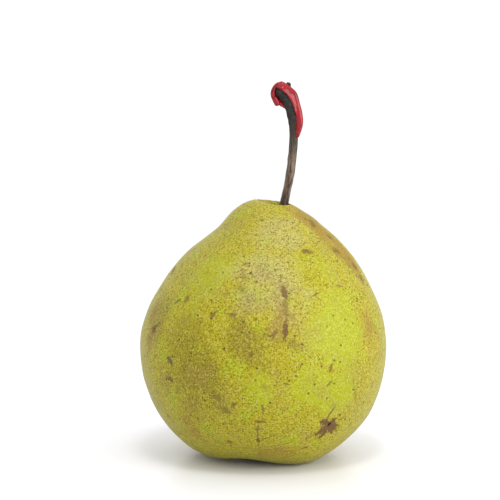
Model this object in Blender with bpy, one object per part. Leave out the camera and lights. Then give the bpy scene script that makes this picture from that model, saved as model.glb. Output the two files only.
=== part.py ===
"""A dumpy winter pear that stands on its base, with a woody stem sealed in red wax.

It has five natural pieces: the fruit, the stem plugged into its crown, the wax on
the stem's head, and the dried calyx and stamens in the basin underneath.
Shapes are drawn in millimetres and turned to metres when they become objects.
+Z is up, the pear stands on z = 0, and +X is the side its stem leans to.
"""

import math

import bmesh
import bpy
from mathutils import Matrix, Vector

METRES_PER_MM = 0.001
MERGE_DISTANCE = 1e-4
FITTING_GAP = 0.3

# The fruit's outline as (radius, height), from the lip of the stem cavity, down
# the outside, over the base rim and up into the basin underneath.
LIP = (6.4, 87.6)
FRUIT_OUTLINE = (
    LIP,
    (9.5, 86.3),
    (13.8, 83.6),
    (18.2, 79.5),
    (24.1, 74.4),
    (30.7, 67.4),
    (36.6, 58.4),
    (40.8, 48.6),
    (42.4, 38.0),
    (41.3, 27.5),
    (37.4, 16.8),
    (31.0, 7.4),
    (24.4, 2.1),
    (17.4, 0.0),
    (13.0, 0.6),
    (9.5, 3.2),
    (6.5, 6.0),
    (3.6, 7.4),
    (0.0, 7.6),
)
OUTLINE_STEPS = 3
FRUIT_SIDES = 64

# The stem cavity's wall, from its lip down to the mouth of the stem's socket.
SOCKET_MOUTH = (1.9, 83.1)
SOCKET_FLOOR_HEIGHT = 78.7
CAVITY_WALL = (LIP, (4.4, 86.8), (2.9, 84.9), SOCKET_MOUTH)
CAVITY_STEPS = 2

# The fruit leans towards its crown, sits a little to the right at its base, is
# dented at its left shoulder and waves gently round its belly.
CROWN_SHIFT = (3.4, 1.0)
LEAN_FROM = 42.0
LEAN_POWER = 1.6
BASE_SHIFT = 0.35
BASE_SHIFT_HEIGHT = 30.0
CROWN_TILT_BACK = 0.06
CROWN_TILT_LEFT = 0.12
CROWN_TILT_RADII = (20.0, 7.0)
DENT_DEPTH = 0.9
DENT_HEIGHT = 79.0
DENT_REACH = 9.0
DENT_HALF_ANGLE = 80
WAVE_DEPTH = 0.35
WAVES_ROUND = 3
WAVE_PHASE = 0.6
WAVE_RISE = (4.0, 20.0)
WAVE_FALL = (70.0, 84.0)

# The lobes of the base rim as (direction in degrees, half width in degrees, how far
# each one hangs below the hollows between them), fading upwards and into the basin.
# The pear's weight flattens the lobes that it stands on.
BASE_LOBES = (
    (-50, 60, 2.4),
    (-146, 38, 1.25),
    (158, 38, 2.4),
    (88, 38, 2.4),
    (20, 36, 2.35),
)
LOBE_HANG = 2.4
LOBE_HEIGHTS = (2.0, 16.0)
LOBE_RADII = (3.0, 11.0)
FLATTENING = 0.25

# The stem's middle line as (x, height, radius), from its foot in the socket to its
# knobbly head, which curls back to the left. The head's end is rounded by rings.
STEM_Y = 3.0
STEM_LINE = (
    (5.9, 79.1, 1.6),
    (6.8, 83.6, 1.6),
    (7.6, 87.9, 1.5),
    (8.8, 93.4, 1.36),
    (9.7, 98.4, 1.5),
    (10.3, 103.3, 1.45),
    (10.7, 108.1, 1.52),
    (10.8, 112.4, 1.63),
    (10.7, 116.3, 2.0),
    (10.2, 119.2, 2.2),
    (9.0, 122.6, 2.45),
    (6.8, 125.5, 2.75),
)
STEM_STEPS = 2
STEM_SIDES = 16
ROUNDING_ANGLES = (26, 52, 77)
ROUNDING_LENGTH = 0.8

# The wax over the stem's head: how far it runs down from the tip, by the direction
# round the stem in degrees (0 is the right, 90 the back), with its half width.
WAX_THICKNESS = 0.9
WAX_CAP_REACH = 3.6
WAX_RUNS = (
    (8, 80, 21.0),
    (92, 75, 10.0),
    (176, 75, 8.5),
)
WAX_SIDES = 20
WAX_ROWS = 12

# The dried calyx under the basin's roof. A sepal is extruded from the ring in steps
# of (outwards, upwards, width, thickness), the last two as shares of the step before.
CALYX_RADIUS = 3.4
CALYX_WALL = 0.9
CALYX_TOP = 7.1
CALYX_HEIGHT = 1.3
SEPALS = 5
SIDES_PER_SEPAL = 4
SEPAL_ROOT_SIDES = 2
SEPAL_STEPS = (
    (1.1, -0.2, 0.95, 0.5),
    (1.1, -0.6, 0.85, 0.9),
    (1.0, -1.0, 0.72, 0.9),
    (0.6, -1.3, 0.5, 0.8),
)

# The tuft of dried stamens inside the calyx, with shallow ridges round it.
STAMEN_OUTLINE = ((0.0, 7.2), (1.5, 7.2), (1.9, 6.2), (1.5, 5.0), (1.0, 4.0), (0.0, 3.7))
STAMEN_RIDGES = 7
STAMEN_RIDGE_SHARE = 0.09
STAMEN_SIDES = 28


def smoothstep(low, high, value):
    share = min(max((value - low) / (high - low), 0.0), 1.0)
    return share * share * (3.0 - 2.0 * share)


def bump(distance, reach):
    """1 at distance 0, falling smoothly to 0 at the reach."""
    return 1.0 - smoothstep(0.0, reach, abs(distance))


def turn_bump(angle, middle, half_width):
    """1 in the middle direction, falling smoothly to 0 at the half width, in degrees."""
    turn = math.remainder(angle - math.radians(middle), 2.0 * math.pi)
    return bump(turn, math.radians(half_width))


def curve_through(points, steps):
    """A smooth Catmull-Rom curve through the points, with this many steps between two."""
    points = [Vector(point) for point in points]
    ends = [2.0 * points[0] - points[1]] + points + [2.0 * points[-1] - points[-2]]
    curve = []
    for i in range(len(points) - 1):
        before, start, end, after = ends[i : i + 4]
        for step in range(steps):
            t = step / steps
            bend = (
                2.0 * start
                + (end - before) * t
                + (2.0 * before - 5.0 * start + 4.0 * end - after) * t**2
                + (3.0 * start - before - 3.0 * end + after) * t**3
            )
            curve.append(0.5 * bend)
    curve.append(points[-1])
    return curve


def add_material(name, colour, roughness):
    material = bpy.data.materials.new(name)
    material.use_nodes = True
    shader = material.node_tree.nodes["Principled BSDF"]
    shader.inputs["Base Color"].default_value = (*colour, 1.0)
    shader.inputs["Roughness"].default_value = roughness
    shader.inputs["Metallic"].default_value = 0.0
    return material


def add_object(name, bm, material, parent, sharp_angle=40):
    """Turns a bmesh in millimetres into a smooth-shaded object in metres."""
    bmesh.ops.remove_doubles(bm, verts=bm.verts, dist=MERGE_DISTANCE)
    bmesh.ops.recalc_face_normals(bm, faces=bm.faces)
    bmesh.ops.scale(bm, vec=(METRES_PER_MM,) * 3, verts=bm.verts)
    mesh = bpy.data.meshes.new(name)
    bm.to_mesh(mesh)
    bm.free()
    mesh.shade_smooth()
    mesh.set_sharp_from_angle(angle=math.radians(sharp_angle))
    mesh.materials.append(material)
    piece = bpy.data.objects.new(name, mesh)
    bpy.context.scene.collection.objects.link(piece)
    piece.parent = parent
    return piece


def turned(outline, sides, is_closed=False):
    """A bmesh of the (radius, height) outline turned round the vertical axis."""
    bm = bmesh.new()
    verts = [bm.verts.new((radius, 0.0, height)) for radius, height in outline]
    ends = verts[1:] + verts[:1] if is_closed else verts[1:]
    edges = [bm.edges.new(pair) for pair in zip(verts, ends)]
    bmesh.ops.spin(
        bm,
        geom=verts + edges,
        axis=(0.0, 0.0, 1.0),
        angle=2.0 * math.pi,
        steps=sides,
        use_merge=True,
    )
    bmesh.ops.remove_doubles(bm, verts=bm.verts, dist=MERGE_DISTANCE)
    return bm


def only(items, kind):
    return [item for item in items if isinstance(item, kind)]


def socket_centre(height):
    """The middle of the straight socket at this height: it follows the stem's foot."""
    (low_x, low, _), (high_x, high, _) = STEM_LINE[:2]
    x = low_x + (high_x - low_x) * (height - low) / (high - low)
    return Vector((x, STEM_Y))


def ring_centre(radius, height):
    """The middle of the fruit's ring of this radius and height."""
    is_high = height > SOCKET_FLOOR_HEIGHT - MERGE_DISTANCE
    if is_high and radius < SOCKET_MOUTH[0] + MERGE_DISTANCE:
        return socket_centre(height)
    crown = Vector(CROWN_SHIFT)
    if is_high and radius < LIP[0]:
        share = (LIP[0] - radius) / (LIP[0] - SOCKET_MOUTH[0])
        return crown.lerp(socket_centre(SOCKET_MOUTH[1]), share)
    lean = (max(height - LEAN_FROM, 0.0) / (LIP[1] - LEAN_FROM)) ** LEAN_POWER
    base = Vector((BASE_SHIFT, 0.0)) * bump(height, BASE_SHIFT_HEIGHT)
    return crown * lean + base


def base_lift(angle):
    """How far the base rim is above its lowest lobes in this direction."""
    return LOBE_HANG - sum(
        hang * turn_bump(angle, middle, half_width) for middle, half_width, hang in BASE_LOBES
    )


def fruit_point(point):
    """Where a point of the turned shape goes on the real, uneven fruit."""
    radius = math.hypot(point.x, point.y)
    angle = math.atan2(point.y, point.x)
    height = point.z
    wave = WAVE_DEPTH * math.cos(WAVES_ROUND * angle + WAVE_PHASE)
    wave *= smoothstep(*WAVE_RISE, height) * (1.0 - smoothstep(*WAVE_FALL, height))
    dent = DENT_DEPTH * turn_bump(angle, 180, DENT_HALF_ANGLE)
    dent *= bump(height - DENT_HEIGHT, DENT_REACH) * min(radius / LIP[0], 1.0)
    outwards = Vector((math.cos(angle), math.sin(angle)))
    spread = ring_centre(radius, height) + (radius + wave - dent) * outwards
    if height > DENT_HEIGHT:
        tilt = CROWN_TILT_BACK * math.sin(angle) - CROWN_TILT_LEFT * math.cos(angle)
        height += tilt * radius * smoothstep(*CROWN_TILT_RADII, radius)
    rim = smoothstep(*LOBE_RADII, radius) * (1.0 - smoothstep(*LOBE_HEIGHTS, point.z))
    height += rim * (base_lift(angle) - FLATTENING)
    return Vector((spread.x, spread.y, max(height, 0.0)))


def add_fruit(parent):
    socket = [(0.0, SOCKET_FLOOR_HEIGHT), (SOCKET_MOUTH[0], SOCKET_FLOOR_HEIGHT)]
    cavity = curve_through(CAVITY_WALL[::-1], CAVITY_STEPS)[:-1]
    outside = curve_through(FRUIT_OUTLINE, OUTLINE_STEPS)
    bm = turned(socket + cavity + outside, FRUIT_SIDES)
    for vert in bm.verts:
        vert.co = fruit_point(vert.co)
    skin = add_material("pear_skin", (0.42, 0.36, 0.05), 0.42)
    return add_object("fruit", bm, skin, parent)


def stem_rings():
    """The stem's (centre, direction, radius) from foot to head, its end rounded."""
    line = curve_through(STEM_LINE, STEM_STEPS)
    centres = [Vector((point.x, STEM_Y, point.y)) for point in line]
    lasts = centres[1:] + centres[-1:]
    firsts = centres[:1] + centres[:-1]
    rings = [
        (centre, (last - first).normalized(), point.z)
        for centre, last, first, point in zip(centres, lasts, firsts, line)
    ]
    end, direction, radius = rings[-1]
    for degrees in ROUNDING_ANGLES:
        angle = math.radians(degrees)
        centre = end + direction * radius * ROUNDING_LENGTH * math.sin(angle)
        rings.append((centre, direction, radius * math.cos(angle)))
    return rings


def across_stem(centre, direction, radius):
    """Places a unit circle across the stem, its local X to the right and Y to the back."""
    right = Vector((0.0, 1.0, 0.0)).cross(direction)
    back = direction.cross(right)
    turn = Matrix((right, back, direction)).transposed().to_4x4()
    return Matrix.Translation(centre) @ turn @ Matrix.Scale(radius, 4)


def tube(rings, sides):
    """A bmesh tube, a circle extruded from ring to ring, and each ring's (verts, edges)."""
    bm = bmesh.new()
    verts = bmesh.ops.create_circle(bm, segments=sides, radius=1.0)["verts"]
    edges = list(bm.edges)
    unit = [Vector((math.cos(angle), math.sin(angle), 0.0)) for angle in side_angles(sides)]
    layers = []
    for number, ring in enumerate(rings):
        if number:
            grown = bmesh.ops.extrude_edge_only(bm, edges=edges)["geom"]
            edges = only(grown, bmesh.types.BMEdge)
            verts = only(grown, bmesh.types.BMVert)
        place = across_stem(*ring)
        for vert, home in zip(verts, unit):
            vert.co = place @ home
        layers.append((verts, edges))
    return bm, layers


def side_angles(sides):
    return [2.0 * math.pi * side / sides for side in range(sides)]


def add_stem(parent):
    bm, layers = tube(stem_rings(), STEM_SIDES)
    for _, edges in (layers[0], layers[-1]):
        bmesh.ops.contextual_create(bm, geom=edges)
    bark = add_material("stem_bark", (0.09, 0.05, 0.03), 0.7)
    return add_object("stem", bm, bark, parent)


def ring_below_tip(rings, distance):
    """The stem's ring this far from its tip, measured along its surface."""
    for upper, lower in zip(rings[::-1], rings[-2::-1]):
        length = math.hypot((upper[0] - lower[0]).length, upper[2] - lower[2])
        if distance <= length:
            break
        distance -= length
    share = min(distance / length, 1.0)
    centre = upper[0].lerp(lower[0], share)
    direction = upper[1].lerp(lower[1], share).normalized()
    return centre, direction, upper[2] + (lower[2] - upper[2]) * share


def wax_reach(angle):
    """How far the wax runs down from the stem's tip in this direction round it."""
    return WAX_CAP_REACH + max(
        (reach - WAX_CAP_REACH) * turn_bump(angle, middle, half_width)
        for middle, half_width, reach in WAX_RUNS
    )


def add_wax_seal(parent):
    rings = stem_rings()
    bm, layers = tube([rings[-1]] * WAX_ROWS, WAX_SIDES)
    for row, (verts, _) in enumerate(layers):
        for vert, angle in zip(verts, side_angles(WAX_SIDES)):
            distance = wax_reach(angle) * row / (WAX_ROWS - 1)
            centre, direction, radius = ring_below_tip(rings, distance)
            place = across_stem(centre, direction, radius + FITTING_GAP)
            vert.co = place @ Vector((math.cos(angle), math.sin(angle), 0.0))
    bmesh.ops.contextual_create(bm, geom=layers[0][1])
    wax = add_material("sealing_wax", (0.50, 0.012, 0.02), 0.2)
    seal = add_object("wax_seal", bm, wax, parent)
    wall = seal.modifiers.new("wall", "SOLIDIFY")
    wall.thickness = WAX_THICKNESS * METRES_PER_MM
    wall.offset = 1.0
    return seal


def is_outer_wall(face):
    return all(vert.co.xy.length > CALYX_RADIUS - MERGE_DISTANCE for vert in face.verts)


def grow_sepal(bm, faces):
    """Extrudes one sepal from the ring's outer wall, step by step."""
    middle = sum((face.calc_center_median() for face in faces), Vector()) / len(faces)
    outwards = Vector((*middle.xy.normalized(), 0.0))
    level = Matrix.Rotation(-math.atan2(outwards.y, outwards.x), 4, "Z")
    for out, up, width, thickness in SEPAL_STEPS:
        grown = bmesh.ops.extrude_face_region(bm, geom=faces)["geom"]
        bmesh.ops.delete(bm, geom=faces, context="FACES_ONLY")
        faces = only(grown, bmesh.types.BMFace)
        verts = only(grown, bmesh.types.BMVert)
        bmesh.ops.translate(bm, verts=verts, vec=outwards * out + Vector((0.0, 0.0, up)))
        centre = sum((vert.co for vert in verts), Vector()) / len(verts)
        about_centre = level @ Matrix.Translation(-centre)
        bmesh.ops.scale(bm, verts=verts, vec=(1.0, width, thickness), space=about_centre)


def add_calyx(parent):
    inside = CALYX_RADIUS - CALYX_WALL
    bottom = CALYX_TOP - CALYX_HEIGHT
    wall = ((inside, bottom), (inside, CALYX_TOP), (CALYX_RADIUS, CALYX_TOP), (CALYX_RADIUS, bottom))
    bm = turned(wall, SEPALS * SIDES_PER_SEPAL, is_closed=True)
    outer = [face for face in bm.faces if is_outer_wall(face)]
    outer.sort(key=lambda face: math.atan2(*face.calc_center_median().yx))
    for first in range(0, len(outer), SIDES_PER_SEPAL):
        grow_sepal(bm, outer[first : first + SEPAL_ROOT_SIDES])
    dry = add_material("dried_calyx", (0.07, 0.045, 0.025), 0.8)
    return add_object("calyx", bm, dry, parent)


def add_stamens(parent):
    bm = turned(STAMEN_OUTLINE, STAMEN_SIDES)
    for vert in bm.verts:
        angle = math.atan2(vert.co.y, vert.co.x)
        vert.co.xy *= 1.0 + STAMEN_RIDGE_SHARE * math.cos(STAMEN_RIDGES * angle)
    dry = add_material("dried_stamens", (0.05, 0.035, 0.02), 0.85)
    return add_object("stamens", bm, dry, parent)


for leftover in list(bpy.data.objects):
    bpy.data.objects.remove(leftover)
pear = bpy.data.objects.new("pear", None)
bpy.context.scene.collection.objects.link(pear)
add_fruit(pear)
add_stem(pear)
add_wax_seal(pear)
add_calyx(pear)
add_stamens(pear)
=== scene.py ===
"""The looks of a dumpy winter pear with a wax-sealed stem, standing on a pale floor."""

import math
import random

import bmesh
import bpy
import numpy as np
from mathutils import Matrix, Vector, noise


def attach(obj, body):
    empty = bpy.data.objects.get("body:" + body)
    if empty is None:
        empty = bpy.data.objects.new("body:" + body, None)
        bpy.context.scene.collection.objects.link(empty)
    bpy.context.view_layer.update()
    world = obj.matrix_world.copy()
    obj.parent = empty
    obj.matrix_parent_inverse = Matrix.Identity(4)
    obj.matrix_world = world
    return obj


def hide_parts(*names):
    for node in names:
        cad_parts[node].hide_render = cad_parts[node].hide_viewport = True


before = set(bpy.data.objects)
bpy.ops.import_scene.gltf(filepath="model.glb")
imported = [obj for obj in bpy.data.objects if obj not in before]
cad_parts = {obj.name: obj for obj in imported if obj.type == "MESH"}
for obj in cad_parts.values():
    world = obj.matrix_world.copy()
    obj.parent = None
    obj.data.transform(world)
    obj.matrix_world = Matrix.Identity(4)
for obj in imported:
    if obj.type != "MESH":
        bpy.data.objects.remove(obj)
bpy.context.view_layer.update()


# ---- The studio ----------------------------------------------------------------
# A wide sheet of white acrylic for a floor, a small soft box above, a large one to
# the right, and white paper all round, which the world stands for.

METRES_PER_MM = 0.001
LENS_MM = 100.0
CAMERA_DISTANCE = 0.478
CAMERA_DIP = 4.7
NEAREST_SEEN = 0.01
AIM = Vector((-0.0043, 0.0, 0.0712))
FLOOR_RADIUS = 4.0
FLOOR_SIDES = 96
FLOOR_WHITE = "#eeeef2"
FLOOR_ROUGHNESS = 0.28
FLOOR_SPECULAR = 0.15
PAPER_WHITE = "#ffffff"
PAPER_LIGHT = 1.1
# Each soft box: name, place, side in metres, watts.
SOFT_BOXES = (
    ("soft_box_above", (0.02, -0.38, 0.86), 0.20, 2.0),
    ("soft_box_right", (1.10, -0.65, 0.35), 1.00, 12.5),
)


def linear(code):
    """The linear colour of an sRGB hex code."""
    channels = [int(code[i : i + 2], 16) / 255.0 for i in (1, 3, 5)]
    return [c / 12.92 if c <= 0.04045 else ((c + 0.055) / 1.055) ** 2.4 for c in channels] + [1.0]


def add_node(tree, kind, inputs, output=0, **settings):
    """Adds a shader node with its settings, sets or links its inputs, and gives an output."""
    node = tree.nodes.new("ShaderNode" + kind)
    for name, value in settings.items():
        setattr(node, name, value)
    for name, value in inputs.items():
        if isinstance(value, bpy.types.NodeSocket):
            tree.links.new(value, node.inputs[name])
        else:
            node.inputs[name].default_value = value
    return node.outputs[output]


def new_material(name):
    """A material with its Principled shader: returns the material, its tree and the shader."""
    material = bpy.data.materials.new(name)
    material.use_nodes = True
    tree = material.node_tree
    return material, tree, tree.nodes["Principled BSDF"]


def add_piece(name, bm, material, scale=METRES_PER_MM):
    """Turns a bmesh in millimetres into a smooth-shaded object at the origin."""
    bmesh.ops.scale(bm, vec=(scale,) * 3, verts=bm.verts)
    mesh = bpy.data.meshes.new(name)
    bm.to_mesh(mesh)
    bm.free()
    mesh.shade_smooth()
    mesh.materials.append(material)
    piece = bpy.data.objects.new(name, mesh)
    bpy.context.scene.collection.objects.link(piece)
    return piece


# White acrylic sheet: smooth and bright, it takes a soft, faint image of what stands on it.
acrylic, tree, shader = new_material("white_acrylic")
shader.inputs["Base Color"].default_value = linear(FLOOR_WHITE)
shader.inputs["Roughness"].default_value = FLOOR_ROUGHNESS
shader.inputs["Specular IOR Level"].default_value = FLOOR_SPECULAR

bm = bmesh.new()
bmesh.ops.create_circle(bm, cap_ends=True, radius=FLOOR_RADIUS, segments=FLOOR_SIDES)
floor = add_piece("floor", bm, acrylic, scale=1.0)

paper = bpy.data.worlds.new("white_paper")
paper.use_nodes = True
background = paper.node_tree.nodes["Background"]
background.inputs["Color"].default_value = linear(PAPER_WHITE)
background.inputs["Strength"].default_value = PAPER_LIGHT
bpy.context.scene.world = paper

for name, place, side, watts in SOFT_BOXES:
    light = bpy.data.lights.new(name, "AREA")
    light.shape = "SQUARE"
    light.size = side
    light.energy = watts
    lamp = bpy.data.objects.new(name, light)
    lamp.location = place
    lamp.rotation_euler = (AIM - Vector(place)).to_track_quat("-Z", "Y").to_euler()
    lamp.visible_camera = False
    bpy.context.scene.collection.objects.link(lamp)

dip = math.radians(CAMERA_DIP)
view = bpy.data.cameras.new("camera")
view.lens = LENS_MM
view.clip_start = NEAREST_SEEN
camera = bpy.data.objects.new("camera", view)
camera.location = AIM + CAMERA_DISTANCE * Vector((0.0, -math.cos(dip), math.sin(dip)))
camera.rotation_euler = (math.radians(90.0) - dip, 0.0, 0.0)
bpy.context.scene.collection.objects.link(camera)
bpy.context.scene.camera = camera
bpy.context.scene.view_settings.view_transform = "Standard"


# ---- The fruit -----------------------------------------------------------------
# The pear itself: one grown piece, thin waxy skin over flesh. It swelled unevenly on
# the tree, so it leans, is lobed round its base and dented at one shoulder.

# The outline as (radius, height) from the socket's floor, up the stem cavity, over
# its lip, down the outside, round the base rim and into the basin underneath.
LIP = (6.4, 87.6)
BASE_RIM = (17.4, 0.0)
SOCKET_MOUTH = (1.9, 83.1)
SOCKET_FLOOR_HEIGHT = 78.7
CAVITY_WALL = (SOCKET_MOUTH, (2.9, 84.9), (4.4, 86.8), LIP)
FRUIT_OUTLINE = (
    LIP,
    (9.5, 86.3),
    (13.8, 83.6),
    (18.2, 79.5),
    (24.1, 74.4),
    (30.7, 67.4),
    (36.6, 58.4),
    (40.8, 48.6),
    (42.4, 38.0),
    (41.3, 27.5),
    (37.4, 16.8),
    (31.0, 7.4),
    (24.4, 2.1),
    BASE_RIM,
    (13.0, 0.6),
    (9.5, 3.2),
    (6.5, 6.0),
    (3.6, 7.4),
    (0.0, 7.6),
)
OUTLINE_STEPS = 14
CAVITY_STEPS = 6
SOCKET_STEPS = 4
FRUIT_SIDES = 288
MERGE_DISTANCE = 1e-4

CROWN_SHIFT = (3.4, 1.0)
LEAN_FROM = 42.0
LEAN_POWER = 1.6
BASE_SHIFT = 0.35
BASE_SHIFT_HEIGHT = 30.0
CROWN_TILT_BACK = 0.06
CROWN_TILT_LEFT = 0.12
CROWN_TILT_RADII = (20.0, 7.0)
DENT_DEPTH = 0.9
DENT_HEIGHT = 79.0
DENT_REACH = 9.0
DENT_HALF_ANGLE = 80
WAVE_DEPTH = 0.35
WAVES_ROUND = 3
WAVE_PHASE = 0.6
WAVE_RISE = (4.0, 20.0)
WAVE_FALL = (70.0, 84.0)
# Base lobes: direction and half width in degrees, how far each hangs down.
BASE_LOBES = (
    (-50, 60, 2.4),
    (-146, 38, 1.25),
    (158, 38, 2.4),
    (88, 38, 2.4),
    (20, 36, 2.35),
)
LOBE_HANG = 2.4
LOBE_HEIGHTS = (2.0, 16.0)
LOBE_RADII = (3.0, 11.0)
FLATTENING = 0.25
# How far back the stem stands, and its straight foot as (x, height), which the
# socket follows.
STEM_Y = 3.0
FOOT_LOW = (5.9, 79.1)
FOOT_HIGH = (6.8, 83.6)


def smoothstep(low, high, value):
    share = np.clip((value - low) / (high - low), 0.0, 1.0)
    return share * share * (3.0 - 2.0 * share)


def bump(distance, reach):
    """1 at distance 0, falling smoothly to 0 at the reach."""
    return 1.0 - smoothstep(0.0, reach, np.abs(distance))


def turn_bump(angle, middle, half_width):
    """1 in the middle direction, falling smoothly to 0 at the half width, in degrees."""
    turn = np.remainder(angle - math.radians(middle) + math.pi, 2.0 * math.pi) - math.pi
    return bump(turn, math.radians(half_width))


def curve_through(points, steps):
    """A smooth Catmull-Rom curve through the points, with this many steps between two."""
    points = [Vector(point) for point in points]
    ends = [2.0 * points[0] - points[1]] + points + [2.0 * points[-1] - points[-2]]
    curve = []
    for i in range(len(points) - 1):
        before, start, end, after = ends[i : i + 4]
        for step in range(steps):
            t = step / steps
            bend = (
                2.0 * start
                + (end - before) * t
                + (2.0 * before - 5.0 * start + 4.0 * end - after) * t**2
                + (3.0 * start - before - 3.0 * end + after) * t**3
            )
            curve.append(0.5 * bend)
    curve.append(points[-1])
    return curve


def turned(outline, sides):
    """A bmesh of the (radius, height) outline turned round the vertical axis."""
    bm = bmesh.new()
    verts = [bm.verts.new((radius, 0.0, height)) for radius, height in outline]
    edges = [bm.edges.new(pair) for pair in zip(verts, verts[1:])]
    bmesh.ops.spin(
        bm,
        geom=verts + edges,
        axis=(0.0, 0.0, 1.0),
        angle=2.0 * math.pi,
        steps=sides,
        use_merge=True,
    )
    bmesh.ops.remove_doubles(bm, verts=bm.verts, dist=MERGE_DISTANCE)
    bmesh.ops.recalc_face_normals(bm, faces=bm.faces)
    return bm


def socket_centre(height):
    share = (height - FOOT_LOW[1]) / (FOOT_HIGH[1] - FOOT_LOW[1])
    return FOOT_LOW[0] + (FOOT_HIGH[0] - FOOT_LOW[0]) * share, STEM_Y


def ring_centre(radius, height):
    """The middle, as x and y, of the fruit's ring of this radius and height."""
    lean = (np.maximum(height - LEAN_FROM, 0.0) / (LIP[1] - LEAN_FROM)) ** LEAN_POWER
    x = CROWN_SHIFT[0] * lean + BASE_SHIFT * bump(height, BASE_SHIFT_HEIGHT)
    y = CROWN_SHIFT[1] * lean
    is_cavity = (height > SOCKET_FLOOR_HEIGHT - MERGE_DISTANCE) & (radius < LIP[0])
    share = np.clip((LIP[0] - radius) / (LIP[0] - SOCKET_MOUTH[0]), 0.0, 1.0)
    socket_x, socket_y = socket_centre(np.minimum(height, SOCKET_MOUTH[1]))
    x = np.where(is_cavity, CROWN_SHIFT[0] + (socket_x - CROWN_SHIFT[0]) * share, x)
    y = np.where(is_cavity, CROWN_SHIFT[1] + (socket_y - CROWN_SHIFT[1]) * share, y)
    return x, y


def fruit_places(points):
    """Where points of the turned shape go on the real, uneven fruit."""
    radius = np.hypot(points[:, 0], points[:, 1])
    angle = np.arctan2(points[:, 1], points[:, 0])
    height = points[:, 2]
    wave = WAVE_DEPTH * np.cos(WAVES_ROUND * angle + WAVE_PHASE)
    wave *= smoothstep(*WAVE_RISE, height) * (1.0 - smoothstep(*WAVE_FALL, height))
    dent = DENT_DEPTH * turn_bump(angle, 180, DENT_HALF_ANGLE)
    dent *= bump(height - DENT_HEIGHT, DENT_REACH) * np.minimum(radius / LIP[0], 1.0)
    x, y = ring_centre(radius, height)
    tilt = CROWN_TILT_BACK * np.sin(angle) - CROWN_TILT_LEFT * np.cos(angle)
    tilt *= radius * smoothstep(*CROWN_TILT_RADII, radius) * (height > DENT_HEIGHT)
    rim = smoothstep(*LOBE_RADII, radius) * (1.0 - smoothstep(*LOBE_HEIGHTS, height))
    hang = sum(drop * turn_bump(angle, middle, half) for middle, half, drop in BASE_LOBES)
    lifted = height + tilt + rim * (LOBE_HANG - hang - FLATTENING)
    spread = radius + wave - dent
    return np.stack(
        (x + spread * np.cos(angle), y + spread * np.sin(angle), np.maximum(lifted, 0.0)), axis=1
    )


def read_points(mesh):
    points = np.empty(len(mesh.vertices) * 3, np.float32)
    mesh.vertices.foreach_get("co", points)
    return points.reshape(-1, 3).astype(float)


def write_points(mesh, points):
    mesh.vertices.foreach_set("co", points.astype(np.float32).ravel())
    mesh.update()


def skin_place(direction, height):
    """The place on the skin in this direction, in degrees, at this height of the outline."""
    radius = np.interp(height, [point.y for point in flank], [point.x for point in flank])
    angle = math.radians(direction)
    turned_place = (radius * math.cos(angle), radius * math.sin(angle), height)
    return Vector(fruit_places(np.array([turned_place]))[0])


def mark_frame(direction, height, turn):
    """A mark's place on the skin, with its X along the mark and its Z out of the skin."""
    place = skin_place(direction, height)
    right = (skin_place(direction + 1.0, height) - place).normalized()
    up = skin_place(direction, height + 1.0) - place
    out = right.cross(up).normalized()
    axes = Matrix((right, out.cross(right), out)).transposed().to_4x4()
    return Matrix.Translation(place) @ axes @ Matrix.Rotation(math.radians(turn), 4, "Z")


def steps_between(start, end, steps):
    """Points on the straight line from start towards end, without its end."""
    return [Vector(start).lerp(Vector(end), step / steps) for step in range(steps)]


floor_centre = (0.0, SOCKET_FLOOR_HEIGHT)
floor_edge = (SOCKET_MOUTH[0], SOCKET_FLOOR_HEIGHT)
outline = steps_between(floor_centre, floor_edge, SOCKET_STEPS)
outline += steps_between(floor_edge, SOCKET_MOUTH, SOCKET_STEPS)
outline += curve_through(CAVITY_WALL, CAVITY_STEPS)[:-1]
side = curve_through(FRUIT_OUTLINE, OUTLINE_STEPS)
outline += side
flank = side[: OUTLINE_STEPS * FRUIT_OUTLINE.index(BASE_RIM) + 1][::-1]

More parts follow.
